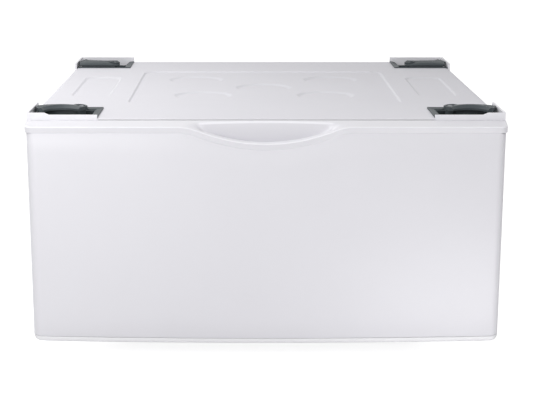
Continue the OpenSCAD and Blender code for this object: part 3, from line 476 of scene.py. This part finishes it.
def cap_section(x):
    """Closed (y, z) outline of the cap at x: outside from the band's foot, then inside."""
    y0 = corner_front(x, HALF_W, CAP_R, FACE_Y)
    foot, lip = smile(CAP_FOOT_Z, x), smile(CAP_LIP_Z, x)
    ax = abs(x)
    slope_y = -358.0 if y0 < -357 else y0 + 2.5

    def slope(y):
        """Height of the cap's flat top, which rises to the rear."""
        return CAP_LIP_Z + CAP_RISE * (y - slope_y) / (BACK_Y - slope_y)

    # The pocket behind the lip: an arched rear wall, up to its brow, and a dished floor
    wall = WALL_Y - WALL_R + math.sqrt(WALL_R ** 2 - min(ax, WALL_X) ** 2)
    come = ease(ax, 97, 121)
    edge = wall * (1 - come) + (y0 + 5.5) * come if ax < 128 else y0 + 5.5
    brow = slope(edge)
    floor = min(FLOOR_Z - math.sqrt(FLOOR_R ** 2 - min(ax, FLOOR_X) ** 2), lip - 0.5)
    crest = 2.3 * (1 - ease(ax, 70, 110)) + 0.6 * ease(ax, 70, 110)
    rise, drop = brow - floor, lip + crest - floor
    floor_y = (y0 + 6.8 + edge) / 2
    pocket = [
        (y0 + 2.7, lip + 0.62 * crest), (y0 + 4.0, lip + crest),
        (y0 + 4.9, lip + crest - 0.35), (y0 + 5.3, lip + crest - min(1.6, 0.3 * drop)),
        (y0 + 5.7, floor + 0.5 * drop), (y0 + 6.8, floor + 0.14 * drop),
        (floor_y, floor), (edge - 3.4, floor + 0.05 * rise),
        (edge - 1.5, floor + 0.2 * rise), (edge - 0.6, floor + 0.5 * rise),
        (edge - 0.1, brow - min(2.6, 0.28 * rise)), (edge + 0.35, brow - min(1.75, 0.2 * rise)),
        (edge + 2.1, brow - min(0.02, 0.01 * rise)), (edge + 3.2, slope(edge + 3.2)),
    ]

    # The same count of points on a plain scoop, which takes over beside the pocket
    start, stop = y0 + 1.5, edge + 3.2
    end = slope(stop)
    scoop = []
    for k in range(len(pocket)):
        t = (k + 1) / len(pocket)
        scoop.append((start + (stop - start) * t, lip + (end - lip) * t ** 1.5))
    if ax >= SMILE_END:
        scoop = [(y, slope(y) if y > y0 + 2.5 else lip) for y, _ in scoop]
    w = 1 - ease(ax, 87, 105)
    middle = [(p[0] * w + q[0] * (1 - w), p[1] * w + q[1] * (1 - w))
              for p, q in zip(pocket, scoop)]

    outer = [(y0 + 2.3, foot - 0.02), (y0 + 2.2, foot + 0.3), (y0 + 0.22, lip - 2.1),
             (y0, lip - 1.3), (y0 + 0.22, lip - 0.65), (y0 + 0.6, lip - 0.25),
             (y0 + 1.15, lip - 0.05)] + middle
    for t in (0.4, 0.8):
        y = stop + (-334.0 - stop) * t
        outer.append((y, slope(y)))
    outer += [(-333.4, slope(-333.4)), (-332.6, 349.6), (-332.15, 349.1), (BACK_Y, 348.4),
              (BACK_Y, CAP_FOOT_Z)]
    back = -334.5
    if ax >= 340.4:  # solid ends
        return outer, [(back + (y0 + 2.7 - back) * k / 8, CAP_FOOT_Z) for k in range(9)]
    under = brow - 3.5
    deep = floor * w + (lip - 3.5) * (1 - w)
    return outer, [
        (back, CAP_FOOT_Z), (back, max(336.0, slope(back) - 3.0)),
        (min(back - 0.2, edge + 4.0), under), (edge + 2.4, under - 2 * w),
        (edge + 2.2 * w, deep * w + under * (1 - w)), (floor_y, deep - 2.5 * w),
        (y0 + 4.2, (deep - 1.5) * w + (lip - 3.4) * (1 - w)),
        (y0 + 2.7, lip - 3.2), (y0 + 2.7, foot)]


def handle_cap():
    """The white moulding on top of the drawer front, with the pocket for the fingers."""
    rings, highlight_share = [], {}
    ends = {-340.5, -340.3, 340.3, 340.5, -342.7, 342.7, -342.92, 342.92}
    for x in sorted(set(stations(HALF_W, CAP_R)) | ends):
        outer, inner = cap_section(x)
        tuck = {342.7: 0.12, 342.92: 0.35, 343.0: 0.9}.get(round(abs(x), 2), 0.0)
        if tuck:
            top = max(z for _, z in outer)
            outer = [(min(max(y, outer[1][0] + tuck), BACK_Y - tuck),
                      z - tuck * (z > 340 and z <= top)) for y, z in outer]
        rings.append([(x, y, z) for y, z in outer + inner])
        # Painted highlight: the lip's and the brow's rounded edges are marked lighter, the brow's
        # fading out at the pocket's ends.
        within = 1 - ease(abs(x), 93, 99)
        for k, f in LIP_HIGHLIGHT + tuple((k, f * within) for k, f in BROW_HIGHLIGHT):
            highlight_share[tuple(round(v, 2) for v in rings[-1][k])] = f
    piece = Shape().loft(rings).make("handle_moulding", "drawer", "cap_plastic", ["handle_cap"],
                                     angle=60)
    # The marks go to the mesh as the attribute that the cap's material lightens by.
    edge = piece.data.attributes.new("painted_highlight", "FLOAT", "POINT")
    for vert, item in zip(piece.data.vertices, edge.data):
        item.value = highlight_share.get(tuple(round(1000 * v, 2) for v in vert.co), 0.0)


def bow(x):
    """How far the front's lower edge rises towards its sides."""
    return 3.8 * (x / PANEL_HALF) ** 2


def corner_rise(x, half):
    """0 to 1 over the last 12 mm before a lower corner."""
    over = max(0.0, abs(x) - (half - 12.0)) / 12.0
    return 1 - math.sqrt(max(0.0, 1 - min(1.0, over) ** 2))


def plan_path(half, r, face, back):
    """Points and outward normals of the front's plan, from the left rear round to the right."""
    side = [(half, y, 1, 0) for y in (back, -340.0, face + r)]
    arc = []
    for a in np.linspace(0, math.pi / 2, 13)[1:]:
        arc.append((half - r + r * math.cos(a), face + r - r * math.sin(a),
                    math.cos(a), -math.sin(a)))
    xs = [320, 300, 260, 220, 180, 150] + list(np.arange(128.8, 0, -2.3))
    right = side + arc + [(x, face, 0, -1) for x in xs]
    left = [(-x, y, -nx, ny) for x, y, nx, ny in right]
    return left + [(0.0, face, 0, -1)] + right[::-1]


def front_panel():
    """The white steel skin, a little narrower at its foot."""
    rings = []
    taper = 1 - FOOT_TAPER / PANEL_HALF
    for x, y, nx, ny in plan_path(PANEL_HALF, PANEL_R, -359.5, -333.2):
        low = PANEL_LOW + bow(x) + 4.5 * corner_rise(x, PANEL_HALF)
        top = smile(PANEL_TOP, x)
        body = [(1.3, top), (0.9, top - 0.35), (0, top - 1.25)]  # depth in, height
        body += [(0, low + (top - low) * t) for t in (0.9, 0.6, 0.3, 0.1)]
        body += [(0, low + 0.7), (0.18, low + 0.2), (0.7, low), (1.6, low + 0.3),
                 (1.3, low + 1.2), (1.6, top - 0.9), (1.6, top - 0.2)]
        ring = []
        for d, z in body:
            k = taper + (1 - taper) * min(1.0, (z - PANEL_LOW) / TAPER_H)
            ring.append(((x - nx * d) * k, y - ny * d, z))
        rings.append(ring)
    Shape().loft(rings).make("front_skin", "drawer", "painted_front", ["front_panel"], angle=60)


def bottom_trim():
    """The grey edge below the skin: an open channel with solid ends."""
    rings = []
    flat = TRIM_HALF - PANEL_R
    xs = list(np.linspace(0, flat, 18)) + [
        flat + PANEL_R * math.sin(a) for a in np.linspace(0, math.pi / 2, 14)[1:]]
    xs = [-x for x in xs[::-1] if x > 0] + xs
    for x in xs:
        y0 = corner_front(x, TRIM_HALF, PANEL_R, -359.3)
        lift = 8.0 * corner_rise(x, TRIM_HALF)
        top = TRIM_TOP + bow(x) + 0.56 * lift
        low = TRIM_LOW + bow(x) + lift
        r = min(2.0, 0.35 * (top - low))
        outer = [(y0 + 0.3, top), (y0, top - 0.3), (y0, low + r)]
        for a in (20, 40, 60, 80):
            outer.append((y0 + r - r * math.cos(math.radians(a)),
                          low + r - r * math.sin(math.radians(a))))
        outer += [(y0 + r + 1.5, low), (-334.5, low), (-333.2, low + 1.0), (-333.2, low + 3.0)]
        shelf = top if abs(x) > TRIM_HALF - 3 else low + 3.0
        inner = [(-335.5, shelf), (y0 + 3.2, shelf), (y0 + 2.5, shelf + 0.3), (y0 + 2.5, top)]
        rings.append([(x, y, z) for y, z in outer + inner])
    Shape().loft(rings).make("lower_edge_moulding", "drawer", "trim_plastic", ["bottom_trim"],
                             angle=60)


# ---------------------------------------------------------------- small hardware

UP = Matrix.Identity(4)
TO_REAR = Matrix.Rotation(math.radians(-90), 4, "X")  # local Z points to +Y
M10, M10_PITCH = 5.0, 1.5  # radius and pitch of the levelling feet's bolts
NUT_BORE = M10 + 0.05
HEX_W = 20  # across the corners of their heads and nuts


def spot(point, way=UP):
    """A place at a point, with its local Z turned a given way."""
    return Matrix.Translation(point) @ way


def pan_head(shape, place, shank_l, r=3.6, h=1.5, shank_r=1.9):
    """A domed screw head with a cross recess, and its shank."""
    rings = [circle(place, r * 0.96, 0, 48)]
    for t in (1.0, 0.99, 0.95, 0.88, 0.78, 0.66, 0.55, 0.46, 0.38, 0.31, 0.24, 0.17, 0.1, 0.02):
        ring = []
        for a in turn(48):
            x, y = r * t * math.cos(a), r * t * math.sin(a)
            z = h * (0.35 + 0.65 * math.sqrt(max(0.0, 1 - t ** 4)))
            arm = min(abs(x), abs(y)) < 0.13 * r and max(abs(x), abs(y)) < 0.58 * r
            ring.append(place @ Vector((x, y, z - (0.55 * h if arm else 0))))
        rings.append(ring)
    shape.loft(rings)
    shape.lathe([(0, -shank_l), (shank_r - 0.5, -shank_l), (shank_r, -shank_l + 0.6),
                 (shank_r, 0.05), (0, 0.05)], place, n=20)


def hex_body(shape, place, h, bore=0.0):
    """A hexagon with its corners turned off, with a bore for a nut."""
    n, apothem = 72, HEX_W / 2 * math.cos(math.pi / 6)
    rows = [(0, 0.90), (0.35, 0.94), (0.8, 0.98), (1.3, 1.02),
            (h - 1.3, 1.02), (h - 0.8, 0.98), (h - 0.35, 0.94), (h, 0.90)]
    rings = []
    for z, k in rows:
        ring = []
        for a in turn(n):
            off = (a % (math.pi / 3)) - math.pi / 6
            r = min(apothem / math.cos(off), k * HEX_W / 2)
            ring.append(place @ Vector((r * math.cos(a), r * math.sin(a), z)))
        rings.append(ring)
    if bore:
        for z, r in ((h, bore + 0.8), (h - 0.8, bore), (0.8, bore), (0, bore + 0.8)):
            rings.append(circle(place, r, z, n))
        rings.append(rings[0])
        shape.loft(rings, caps=False)
    else:
        shape.loft(rings)


def thread(shape, place, r, z0, z1, pitch, n=28):
    """A rod with a real helical thread."""
    rings = []
    for z in np.arange(z0, z1 + 0.01, pitch / 5):
        ring = []
        for a in turn(n):
            t = (z / pitch - a / (2 * math.pi)) % 1.0
            cut = 0.8 * (1 - abs(2 * t - 1))
            tip = max(0.0, z - (z1 - 1.2)) * 0.8
            ring.append(place @ Vector(((r - max(cut, tip)) * math.cos(a),
                                        (r - max(cut, tip)) * math.sin(a), z)))
        rings.append(ring)
    shape.loft(rings)


def screws():
    """The corner brackets', the casing's and the drawer front's screws."""
    heads = Shape()
    for c in CORNERS:
        for u, v in ((76, 20), (20, 60)):
            pan_head(heads, spot(corner_place(c, u, v, 342.0)), 9)
    heads.make("bracket_screw_heads", "cabinet", "zinc_steel", ["bracket_screws"], angle=35)

    heads = Shape()
    for s in (-1, 1):
        for share in (0.2, 0.525, 0.85):
            p = Vector((s * (CASE_X - 7.5), 359.0, CASE_Z + share * CASE_H))
            pan_head(heads, spot(p, TO_REAR), 4.8)
    heads.make("casing_screw_heads", "cabinet", "zinc_steel", ["cabinet_screws"], angle=35)

    heads = Shape()
    for s in (-1, 1):
        for share in (0.2, 0.8):
            p = Vector((s * 270.0, -330.8, 64.0 + share * 220.0))
            pan_head(heads, spot(p, TO_REAR), 3.6)
    heads.make("drawer_screw_heads", "drawer", "zinc_steel", ["drawer_screws"], angle=35)


def pins_and_bumpers():
    """The foot clamps' pivot pins, and the drawer front's four bumpers."""
    pins = Shape()
    for c in CORNERS:
        pins.lathe([(0, 339.5), (3, 339.5), (3, 358.1), (5.3, 358.1), (5.5, 358.4),
                    (5.5, 359.0), (5.2, 359.5), (4.4, 359.8), (3.2, 359.9), (2.9, 359.5),
                    (1.2, 359.5), (0, 359.5)], spot(corner_place(c, *PIVOT)))
    pins.make("pivot_pin_set", "cabinet", "zinc_steel", ["clamp_pins"], angle=35)

    bumpers = Shape()
    for s in (-1, 1):
        for share in (0.2, 0.83):
            p = Vector((s * (CASE_X - 7.5), BACK_Y, CASE_Z + share * CASE_H))
            bumpers.lathe([(0, 0), (6, 0), (6, 2.4), (5.7, 3.1), (5.0, 3.5), (3.2, 3.7),
                           (1.5, 3.3), (0, 3.3)], spot(p, TO_REAR), n=32)
    bumpers.make("bumper_set", "drawer", "dark_rubber", ["drawer_bumpers"], angle=35)


def levelling_feet():
    """Weld nuts, lock nuts, and a threaded bolt in a rubber-shod pad at each corner."""
    upper, lower = Shape(), Shape()
    for c in CORNERS:
        p = corner_place(c, *FOOT)
        hex_body(upper, spot(p + Vector((0, 0, 32.2))), 9, NUT_BORE)
        hex_body(lower, spot(p + Vector((0, 0, 23.2))), 6, NUT_BORE)
        bolt = Shape()
        bolt.lathe([(0, 3.3), (3.6, 3.3), (4, 3.8), (4, 10.1), (0, 10.1)], spot(p), n=32)
        hex_body(bolt, spot(p + Vector((0, 0, 10.1))), 6)
        thread(bolt, spot(p), M10, 16.0, 54.1, M10_PITCH)
        bolt.make(f"levelling_bolt_{c}", f"foot_bolt_{c}", "zinc_steel", [f"foot_bolt_{c}"], 35)
        pad = Shape()
        pad.lathe([(4.05, 3.0), (4.05, 9.5), (4.6, 10.0), (15.0, 10.0), (16.2, 9.6),
                   (17.0, 8.6), (19.6, 5.4), (20.0, 4.7), (20.0, 1.0), (19.3, 0.0),
                   (17.4, 0.0), (16.9, 0.5), (15.4, 0.5), (14.9, 0.0), (12.4, 0.0),
                   (11.9, 0.5), (10.4, 0.5), (9.9, 0.0), (0, 0.0)], spot(p), n=56)
        pad.make(f"levelling_pad_{c}", f"foot_pad_{c}", "dark_rubber", [f"foot_pad_{c}"], 35)
    upper.make("weld_nut_set", "cabinet", "zinc_steel", ["foot_nuts"], angle=35)
    lower.make("lock_nut_set", "cabinet", "zinc_steel", ["lock_nuts"], angle=35)


# ---------------------------------------------------------------- corners


def lower_flange(tray):
    """Sinks the tray's inner flanges, which the photo shows lower than its outer rim."""
    for vert in tray.data.vertices:
        x, y, z = vert.co * 1000
        u, v = HALF_W - abs(x), min(y - FRONT_Y, REAR_Y - y)
        if z > 350 and u < 97 and v < 94 and (u > 88.5 or v > 85.5):
            inward = max(u - 88.9 if u > 88.5 else -9, v - 85.9 if v > 85.5 else -9)
            if inward < 1.5:
                vert.co.z -= 3.6 * MM


def clamp_crest(u):
    """Height of the clamp's arched top."""
    return 362.5 - (u - 40.25) ** 2 / 600


def grip_ribs(c):
    """Five ribs along the clamp's arm, each with rounded ends."""
    ribs, stop = Shape(), 69.0
    for u, start in ((8.8, 52.5), (11.8, 44.5), (14.8, 41.0), (17.8, 48.5), (20.8, 54.0)):
        rings = []
        for v in np.linspace(start, stop, 11):
            end = min(1.0, 0.1 + (v - start) / 2.5, 0.1 + (stop - v) / 1.5)
            rings.append([
                corner_place(c, u + (0.4 + 0.6 * end) * math.cos(a), v,
                             clamp_crest(u) - 0.5 + (0.5 + 0.75 * end) * math.sin(a))
                for a in turn(12)])
        ribs.loft(rings)
    ribs.make(f"clamp_grip_ribs_{c}", f"foot_clamp_{c}", "dark_plastic", angle=60)


def rear_wall(c):
    """The clamp's wall behind the pivot, lower and thinner towards its ends."""
    rings, u0, u1, low = [], 6.6, 80.0, 355.0
    for u in (u0, 7.2, 9.0, 14, 20, 28, 36, 44, 52, 60, 66, 71, 75, 78, 79.4, u1):
        crest = clamp_crest(u) - 0.1 - max(0.0, u - 46) ** 2 / 380
        end = min(1.0, 0.35 + (u - u0) / 3.0, 0.35 + (u1 - u) / 3.5)
        back = 86.4 - 2.5 * (1 - end) - 0.05 * max(0.0, u - 66) ** 1.8
        h = (crest - low) * (0.72 + 0.28 * end) + low
        ring = [(68.5, 354.6), (68.5, h - 0.3), (70, h), (75, h - 0.5), (80, h - 1.4),
                (back - 2.2, h - 2.4), (back - 0.7, h - 3.2), (back, h - 4.4),
                (back + 0.2, 355.4), (back - 0.4, 354.6)]
        rings.append([corner_place(c, u, v, z) for v, z in ring])
    Shape().loft(rings).make(f"clamp_rear_wall_{c}", f"foot_clamp_{c}", "dark_plastic", angle=40)


def corners():
    """Upstand, tray, ringed rubber seat and swing clamp at each corner of the deck."""
    seat_outline = [(0, 342.0), (23.6, 342.0), (24, 342.4), (24, 343.6), (23.6, LEDGE_Z)]
    for r in (20.0, 15.5, 11.0, 6.5):  # grooves
        seat_outline += [(r + 0.9, LEDGE_Z), (r + 0.4, 343.4), (r - 0.4, 343.4),
                         (r - 0.9, LEDGE_Z)]
    seat_outline += [(2.5, LEDGE_Z), (0, LEDGE_Z)]
    sill = [(83.6, 350.0), (83.6, 353.7), (84.1, 354.1), (85.6, 354.1), (86.1, 353.7),
            (86.5, 350.0)]
    for c in CORNERS:
        # The upstands wear the lighter copy of the white enamel, painted light on their walls.
        bevelled(f"corner_upstand_{c}", f"corner_bracket_{c}", "cabinet", "painted_steel",
                 0.7, 3, look="bracket_painted_light")
        lower_flange(bevelled(f"tray_moulding_{c}", f"foot_tray_{c}", "cabinet",
                              "dark_plastic", 0.5, 2))
        Shape().lathe(seat_outline, spot(corner_place(c, *SEAT)), n=56).make(
            f"ringed_seat_{c}", "cabinet", "dark_rubber", [f"seat_pad_{c}"], angle=35)
        bevelled(f"swing_clamp_{c}", f"foot_clamp_{c}", f"foot_clamp_{c}", "dark_plastic", 1.0, 3)
        grip_ribs(c)
        rear_wall(c)
        Shape().loft([[corner_place(c, u, v, z) for v, z in sill] for u in (11.0, 30, 50, 72)]
                     ).make(f"tray_sill_{c}", "cabinet", "dark_plastic", angle=40)


# ---------------------------------------------------------------- casing, slides and drawer

DRAWER_FLOOR_Z = 65.2


def casing():
    """The casing's sheets, and the drawer's inner skin, front wall and rear wall."""
    for name, node, body, slot, width in (
            ("side_sheet_left", "side_panel_left", "cabinet", "painted_steel", 0.45),
            ("side_sheet_right", "side_panel_right", "cabinet", "painted_steel", 0.45),
            ("rear_sheet", "rear_panel", "cabinet", "painted_steel", 0.45),
            ("corner_plates", "foot_plates", "cabinet", "zinc_steel", 0.6),
            ("drawer_rear_wall", "drawer_back", "drawer", "drawer_steel", 0.4),
            ("drawer_front_wall", "drawer_inner_front", "drawer", "drawer_steel", 0.4),
            ("front_inner_skin", "front_pan", "drawer", "painted_front", 0.4)):
        bevelled(name, node, body, slot, width)


def rails():
    """Three folded channels across the casing."""
    t, height, depth = SHEET, 30, 40.0
    for name, node, y0, z0, way in (
            ("upper_front_channel", "front_top_rail", -328.0, 306.5, 1),
            ("lower_front_channel", "front_bottom_rail", -328.0, CASE_Z, 1),
            ("lower_rear_channel", "rear_bottom_rail", 357.8, CASE_Z, -1)):
        web, far = y0 + way * t / 2, y0 + way * (depth - 0.4)
        path = [(far, z0 + t / 2), (web, z0 + t / 2), (web, z0 + height - t / 2),
                (far, z0 + height - t / 2)]
        run(Shape(), folded(path, t, 1.6), "x", -CASE_X, CASE_X).make(
            name, "cabinet", "painted_steel", [node], angle=45)


def slides(side, s):
    """A side's carrier, its slide's three members, the drawer's side, and the ball cages."""
    t, mid = SHEET, SLIDE_Z
    x0, x1, h, flange = 312.7 + t / 2, CASE_X - t / 2, 28.5, 11.6
    path = [(x1, mid - h - flange), (x1, mid - h + t / 2), (x0, mid - h + t / 2),
            (x0, mid + h - t / 2), (x1, mid + h - t / 2), (x1, mid + h + flange)]
    run(Shape(), mirror_x(folded(path, t, 1.4), s), "y", -326.8, 249.0).make(
        f"slide_carrier_{side}", "cabinet", "zinc_steel", [f"slide_support_{side}"], angle=45)

    members = (  # body, then its web's and lips' places, half height and the lips' curl
        ("outer", "cabinet", 312.0, 303.3, 21.8, 1.9),
        ("middle", f"slide_middle_{side}", 309.2, 303.3, 16.2, 1.3),
        ("inner", "drawer", 300.7, 306.4, 10.6, 0.0),
    )
    for kind, body, web, lip, h, curl in members:
        path = [(web, mid - h), (web, mid + h)]
        tip = [(lip, mid + h), (lip, mid + h - curl)] if curl else [(lip, mid + h)]
        path = [(x, 2 * mid - z) for x, z in tip[::-1]] + path + tip
        run(Shape(), mirror_x(folded(path, SLIDE_SHEET, 1.5), s), "y", -326.0, 229.0).make(
            f"slide_{kind}_member_{side}", body, "zinc_steel", [f"slide_{kind}_{side}"],
            angle=45)

    x, top = 300.0 - t / 2, 284 - t / 2
    path = [(x, DRAWER_FLOOR_Z), (x, top), (x - 4.8, top), (x - 4.8, 280.0)]
    run(Shape(), mirror_x(folded(path, t, 2.2), s), "y", BACK_Y, 238.0).make(
        f"hemmed_side_{side}", "drawer", "drawer_steel", [f"drawer_side_{side}"], angle=45)

    for kind in ("outer", "inner"):
        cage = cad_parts[f"ball_cage_{kind}_{side}"]
        cage.data.materials.clear()
        cage.data.materials.append(MATERIALS["cage_steel"])


def drawer_floor():
    """The drawer's floor, with three long shallow pressings."""
    xs = lines((-300, 300, 20), (-205, -175, 2.5), (-15, 15, 2.5), (175, 205, 2.5))
    ys = lines((-332, 238, 20), (-300, -270, 2.5), (176, 206, 2.5))
    rings = []
    for y in ys:
        ring = []
        for x in xs:
            d = min(abs(abs(x) - 190), abs(x)) - 6
            end = max(-285 - y, y - 191, 0)
            ring.append((x, y, DRAWER_FLOOR_Z - 0.9 * float(fall(max(d, end - 6), 8))))
        rings.append(ring)
    piece = Shape().loft(rings, caps=False, closed=False).make(
        "ribbed_floor", "drawer", "drawer_steel", ["drawer_floor"], angle=50)
    normal = sum((p.normal.z for p in piece.data.polygons), 0.0)
    sheet = piece.modifiers.new("sheet", "SOLIDIFY")
    sheet.thickness, sheet.offset = SHEET * MM, (-1 if normal > 0 else 1)
    apply_modifiers(piece)


# ---------------------------------------------------------------- stage

FLOOR_WHITE, FLOOR_GLOW, WORLD_LEVEL = 0.75, 0.84, 0.40
LAMPS = (  # place, point lit and size in metres, power in watts
    ("softbox_left", (-0.6, -1.1, 1.0), (-0.1, -0.36, 0.2), (0.5, 0.5), 2.3),
    ("softbox_near_left", (-0.5, -1.0, 0.55), (-0.3, -0.36, 0.3), (0.3, 0.3), 2.05),
    ("softbox_right", (0.6, -1.1, 1.0), (0.2, -0.36, 0.15), (0.5, 0.5), 3.1),
    ("softbox_low_right", (0.33, -0.64, 0.03), (0.32, -0.36, 0.035), (0.3, 0.05), 0.23),
    ("softbox_top", (-0.6, 0.0, 1.05), (-0.2, 0.0, 0.35), (0.5, 0.5), 3.6),
)


def seen_directly(nodes, links):
    """1 on camera, glossy and transmission rays, 0 on the rest, which light the object."""
    path = nodes.new("ShaderNodeLightPath")
    two, three = nodes.new("ShaderNodeMath"), nodes.new("ShaderNodeMath")
    two.operation = three.operation = "MAXIMUM"
    links.new(path.outputs["Is Camera Ray"], two.inputs[0])
    links.new(path.outputs["Is Glossy Ray"], two.inputs[1])
    links.new(two.outputs[0], three.inputs[0])
    links.new(path.outputs["Is Transmission Ray"], three.inputs[1])
    return three.outputs[0]


def softbox(name, at, aim, size, power):
    """A rectangular lamp, turned to the point that it lights."""
    data = bpy.data.lights.new(name, "AREA")
    data.shape, data.size, data.size_y = "RECTANGLE", size[0], size[1]
    data.energy = power
    lamp = bpy.data.objects.new(name, data)
    lamp.location = at
    lamp.rotation_euler = (Vector(aim) - Vector(at)).to_track_quat("-Z", "Y").to_euler()
    bpy.context.scene.collection.objects.link(lamp)


def studio():
    """A pale floor that runs out into a white ground, and the lamps."""
    bpy.ops.mesh.primitive_plane_add(size=14, location=(0, 2.0, -0.0004))
    floor = bpy.context.object
    floor.name = "studio_floor"
    m = bpy.data.materials.new("studio_floor_white")
    m.use_nodes = True
    nodes, links = m.node_tree.nodes, m.node_tree.links
    nodes.remove(nodes["Principled BSDF"])
    diffuse, glow, add = (nodes.new(f"ShaderNode{k}") for k in
                          ("BsdfDiffuse", "Emission", "AddShader"))
    diffuse.inputs["Color"].default_value = (FLOOR_WHITE, FLOOR_WHITE, FLOOR_WHITE, 1)
    lift = nodes.new("ShaderNodeMath")
    lift.operation = "MULTIPLY"
    lift.inputs[1].default_value = FLOOR_GLOW
    links.new(seen_directly(nodes, links), lift.inputs[0])
    links.new(lift.outputs[0], glow.inputs["Strength"])
    links.new(diffuse.outputs[0], add.inputs[0])
    links.new(glow.outputs[0], add.inputs[1])
    links.new(add.outputs[0], nodes["Material Output"].inputs["Surface"])
    floor.data.materials.append(m)

    world = bpy.data.worlds.new("studio")
    bpy.context.scene.world = world
    world.use_nodes = True
    nodes, links = world.node_tree.nodes, world.node_tree.links
    back = nodes["Background"]
    level = nodes.new("ShaderNodeMapRange")
    level.inputs["To Min"].default_value = WORLD_LEVEL
    level.inputs["To Max"].default_value = 1.0
    links.new(seen_directly(nodes, links), level.inputs["Value"])
    links.new(level.outputs["Result"], back.inputs["Strength"])
    back.inputs["Color"].default_value = (1, 1, 1, 1)

    for lamp in LAMPS:
        softbox(*lamp)


def camera():
    """The photo's view, as a pinhole fitted to the cabinet's corners."""
    scene = bpy.context.scene
    data = bpy.data.cameras.new("view")
    data.sensor_width, data.lens = 36.0, 97.76
    data.shift_x = 0.0331
    view = bpy.data.objects.new("view", data)
    view.location = (-0.02468, -2.37888, 0.67390)
    view.rotation_euler = (math.radians(77.848), 0, 0)
    scene.collection.objects.link(view)
    scene.camera = view
    scene.view_settings.view_transform = "Standard"


deck()
handle_cap()
front_panel()
bottom_trim()
corners()
screws()
pins_and_bumpers()
levelling_feet()
casing()
rails()
slides("left", -1)
slides("right", 1)
drawer_floor()
studio()
camera()
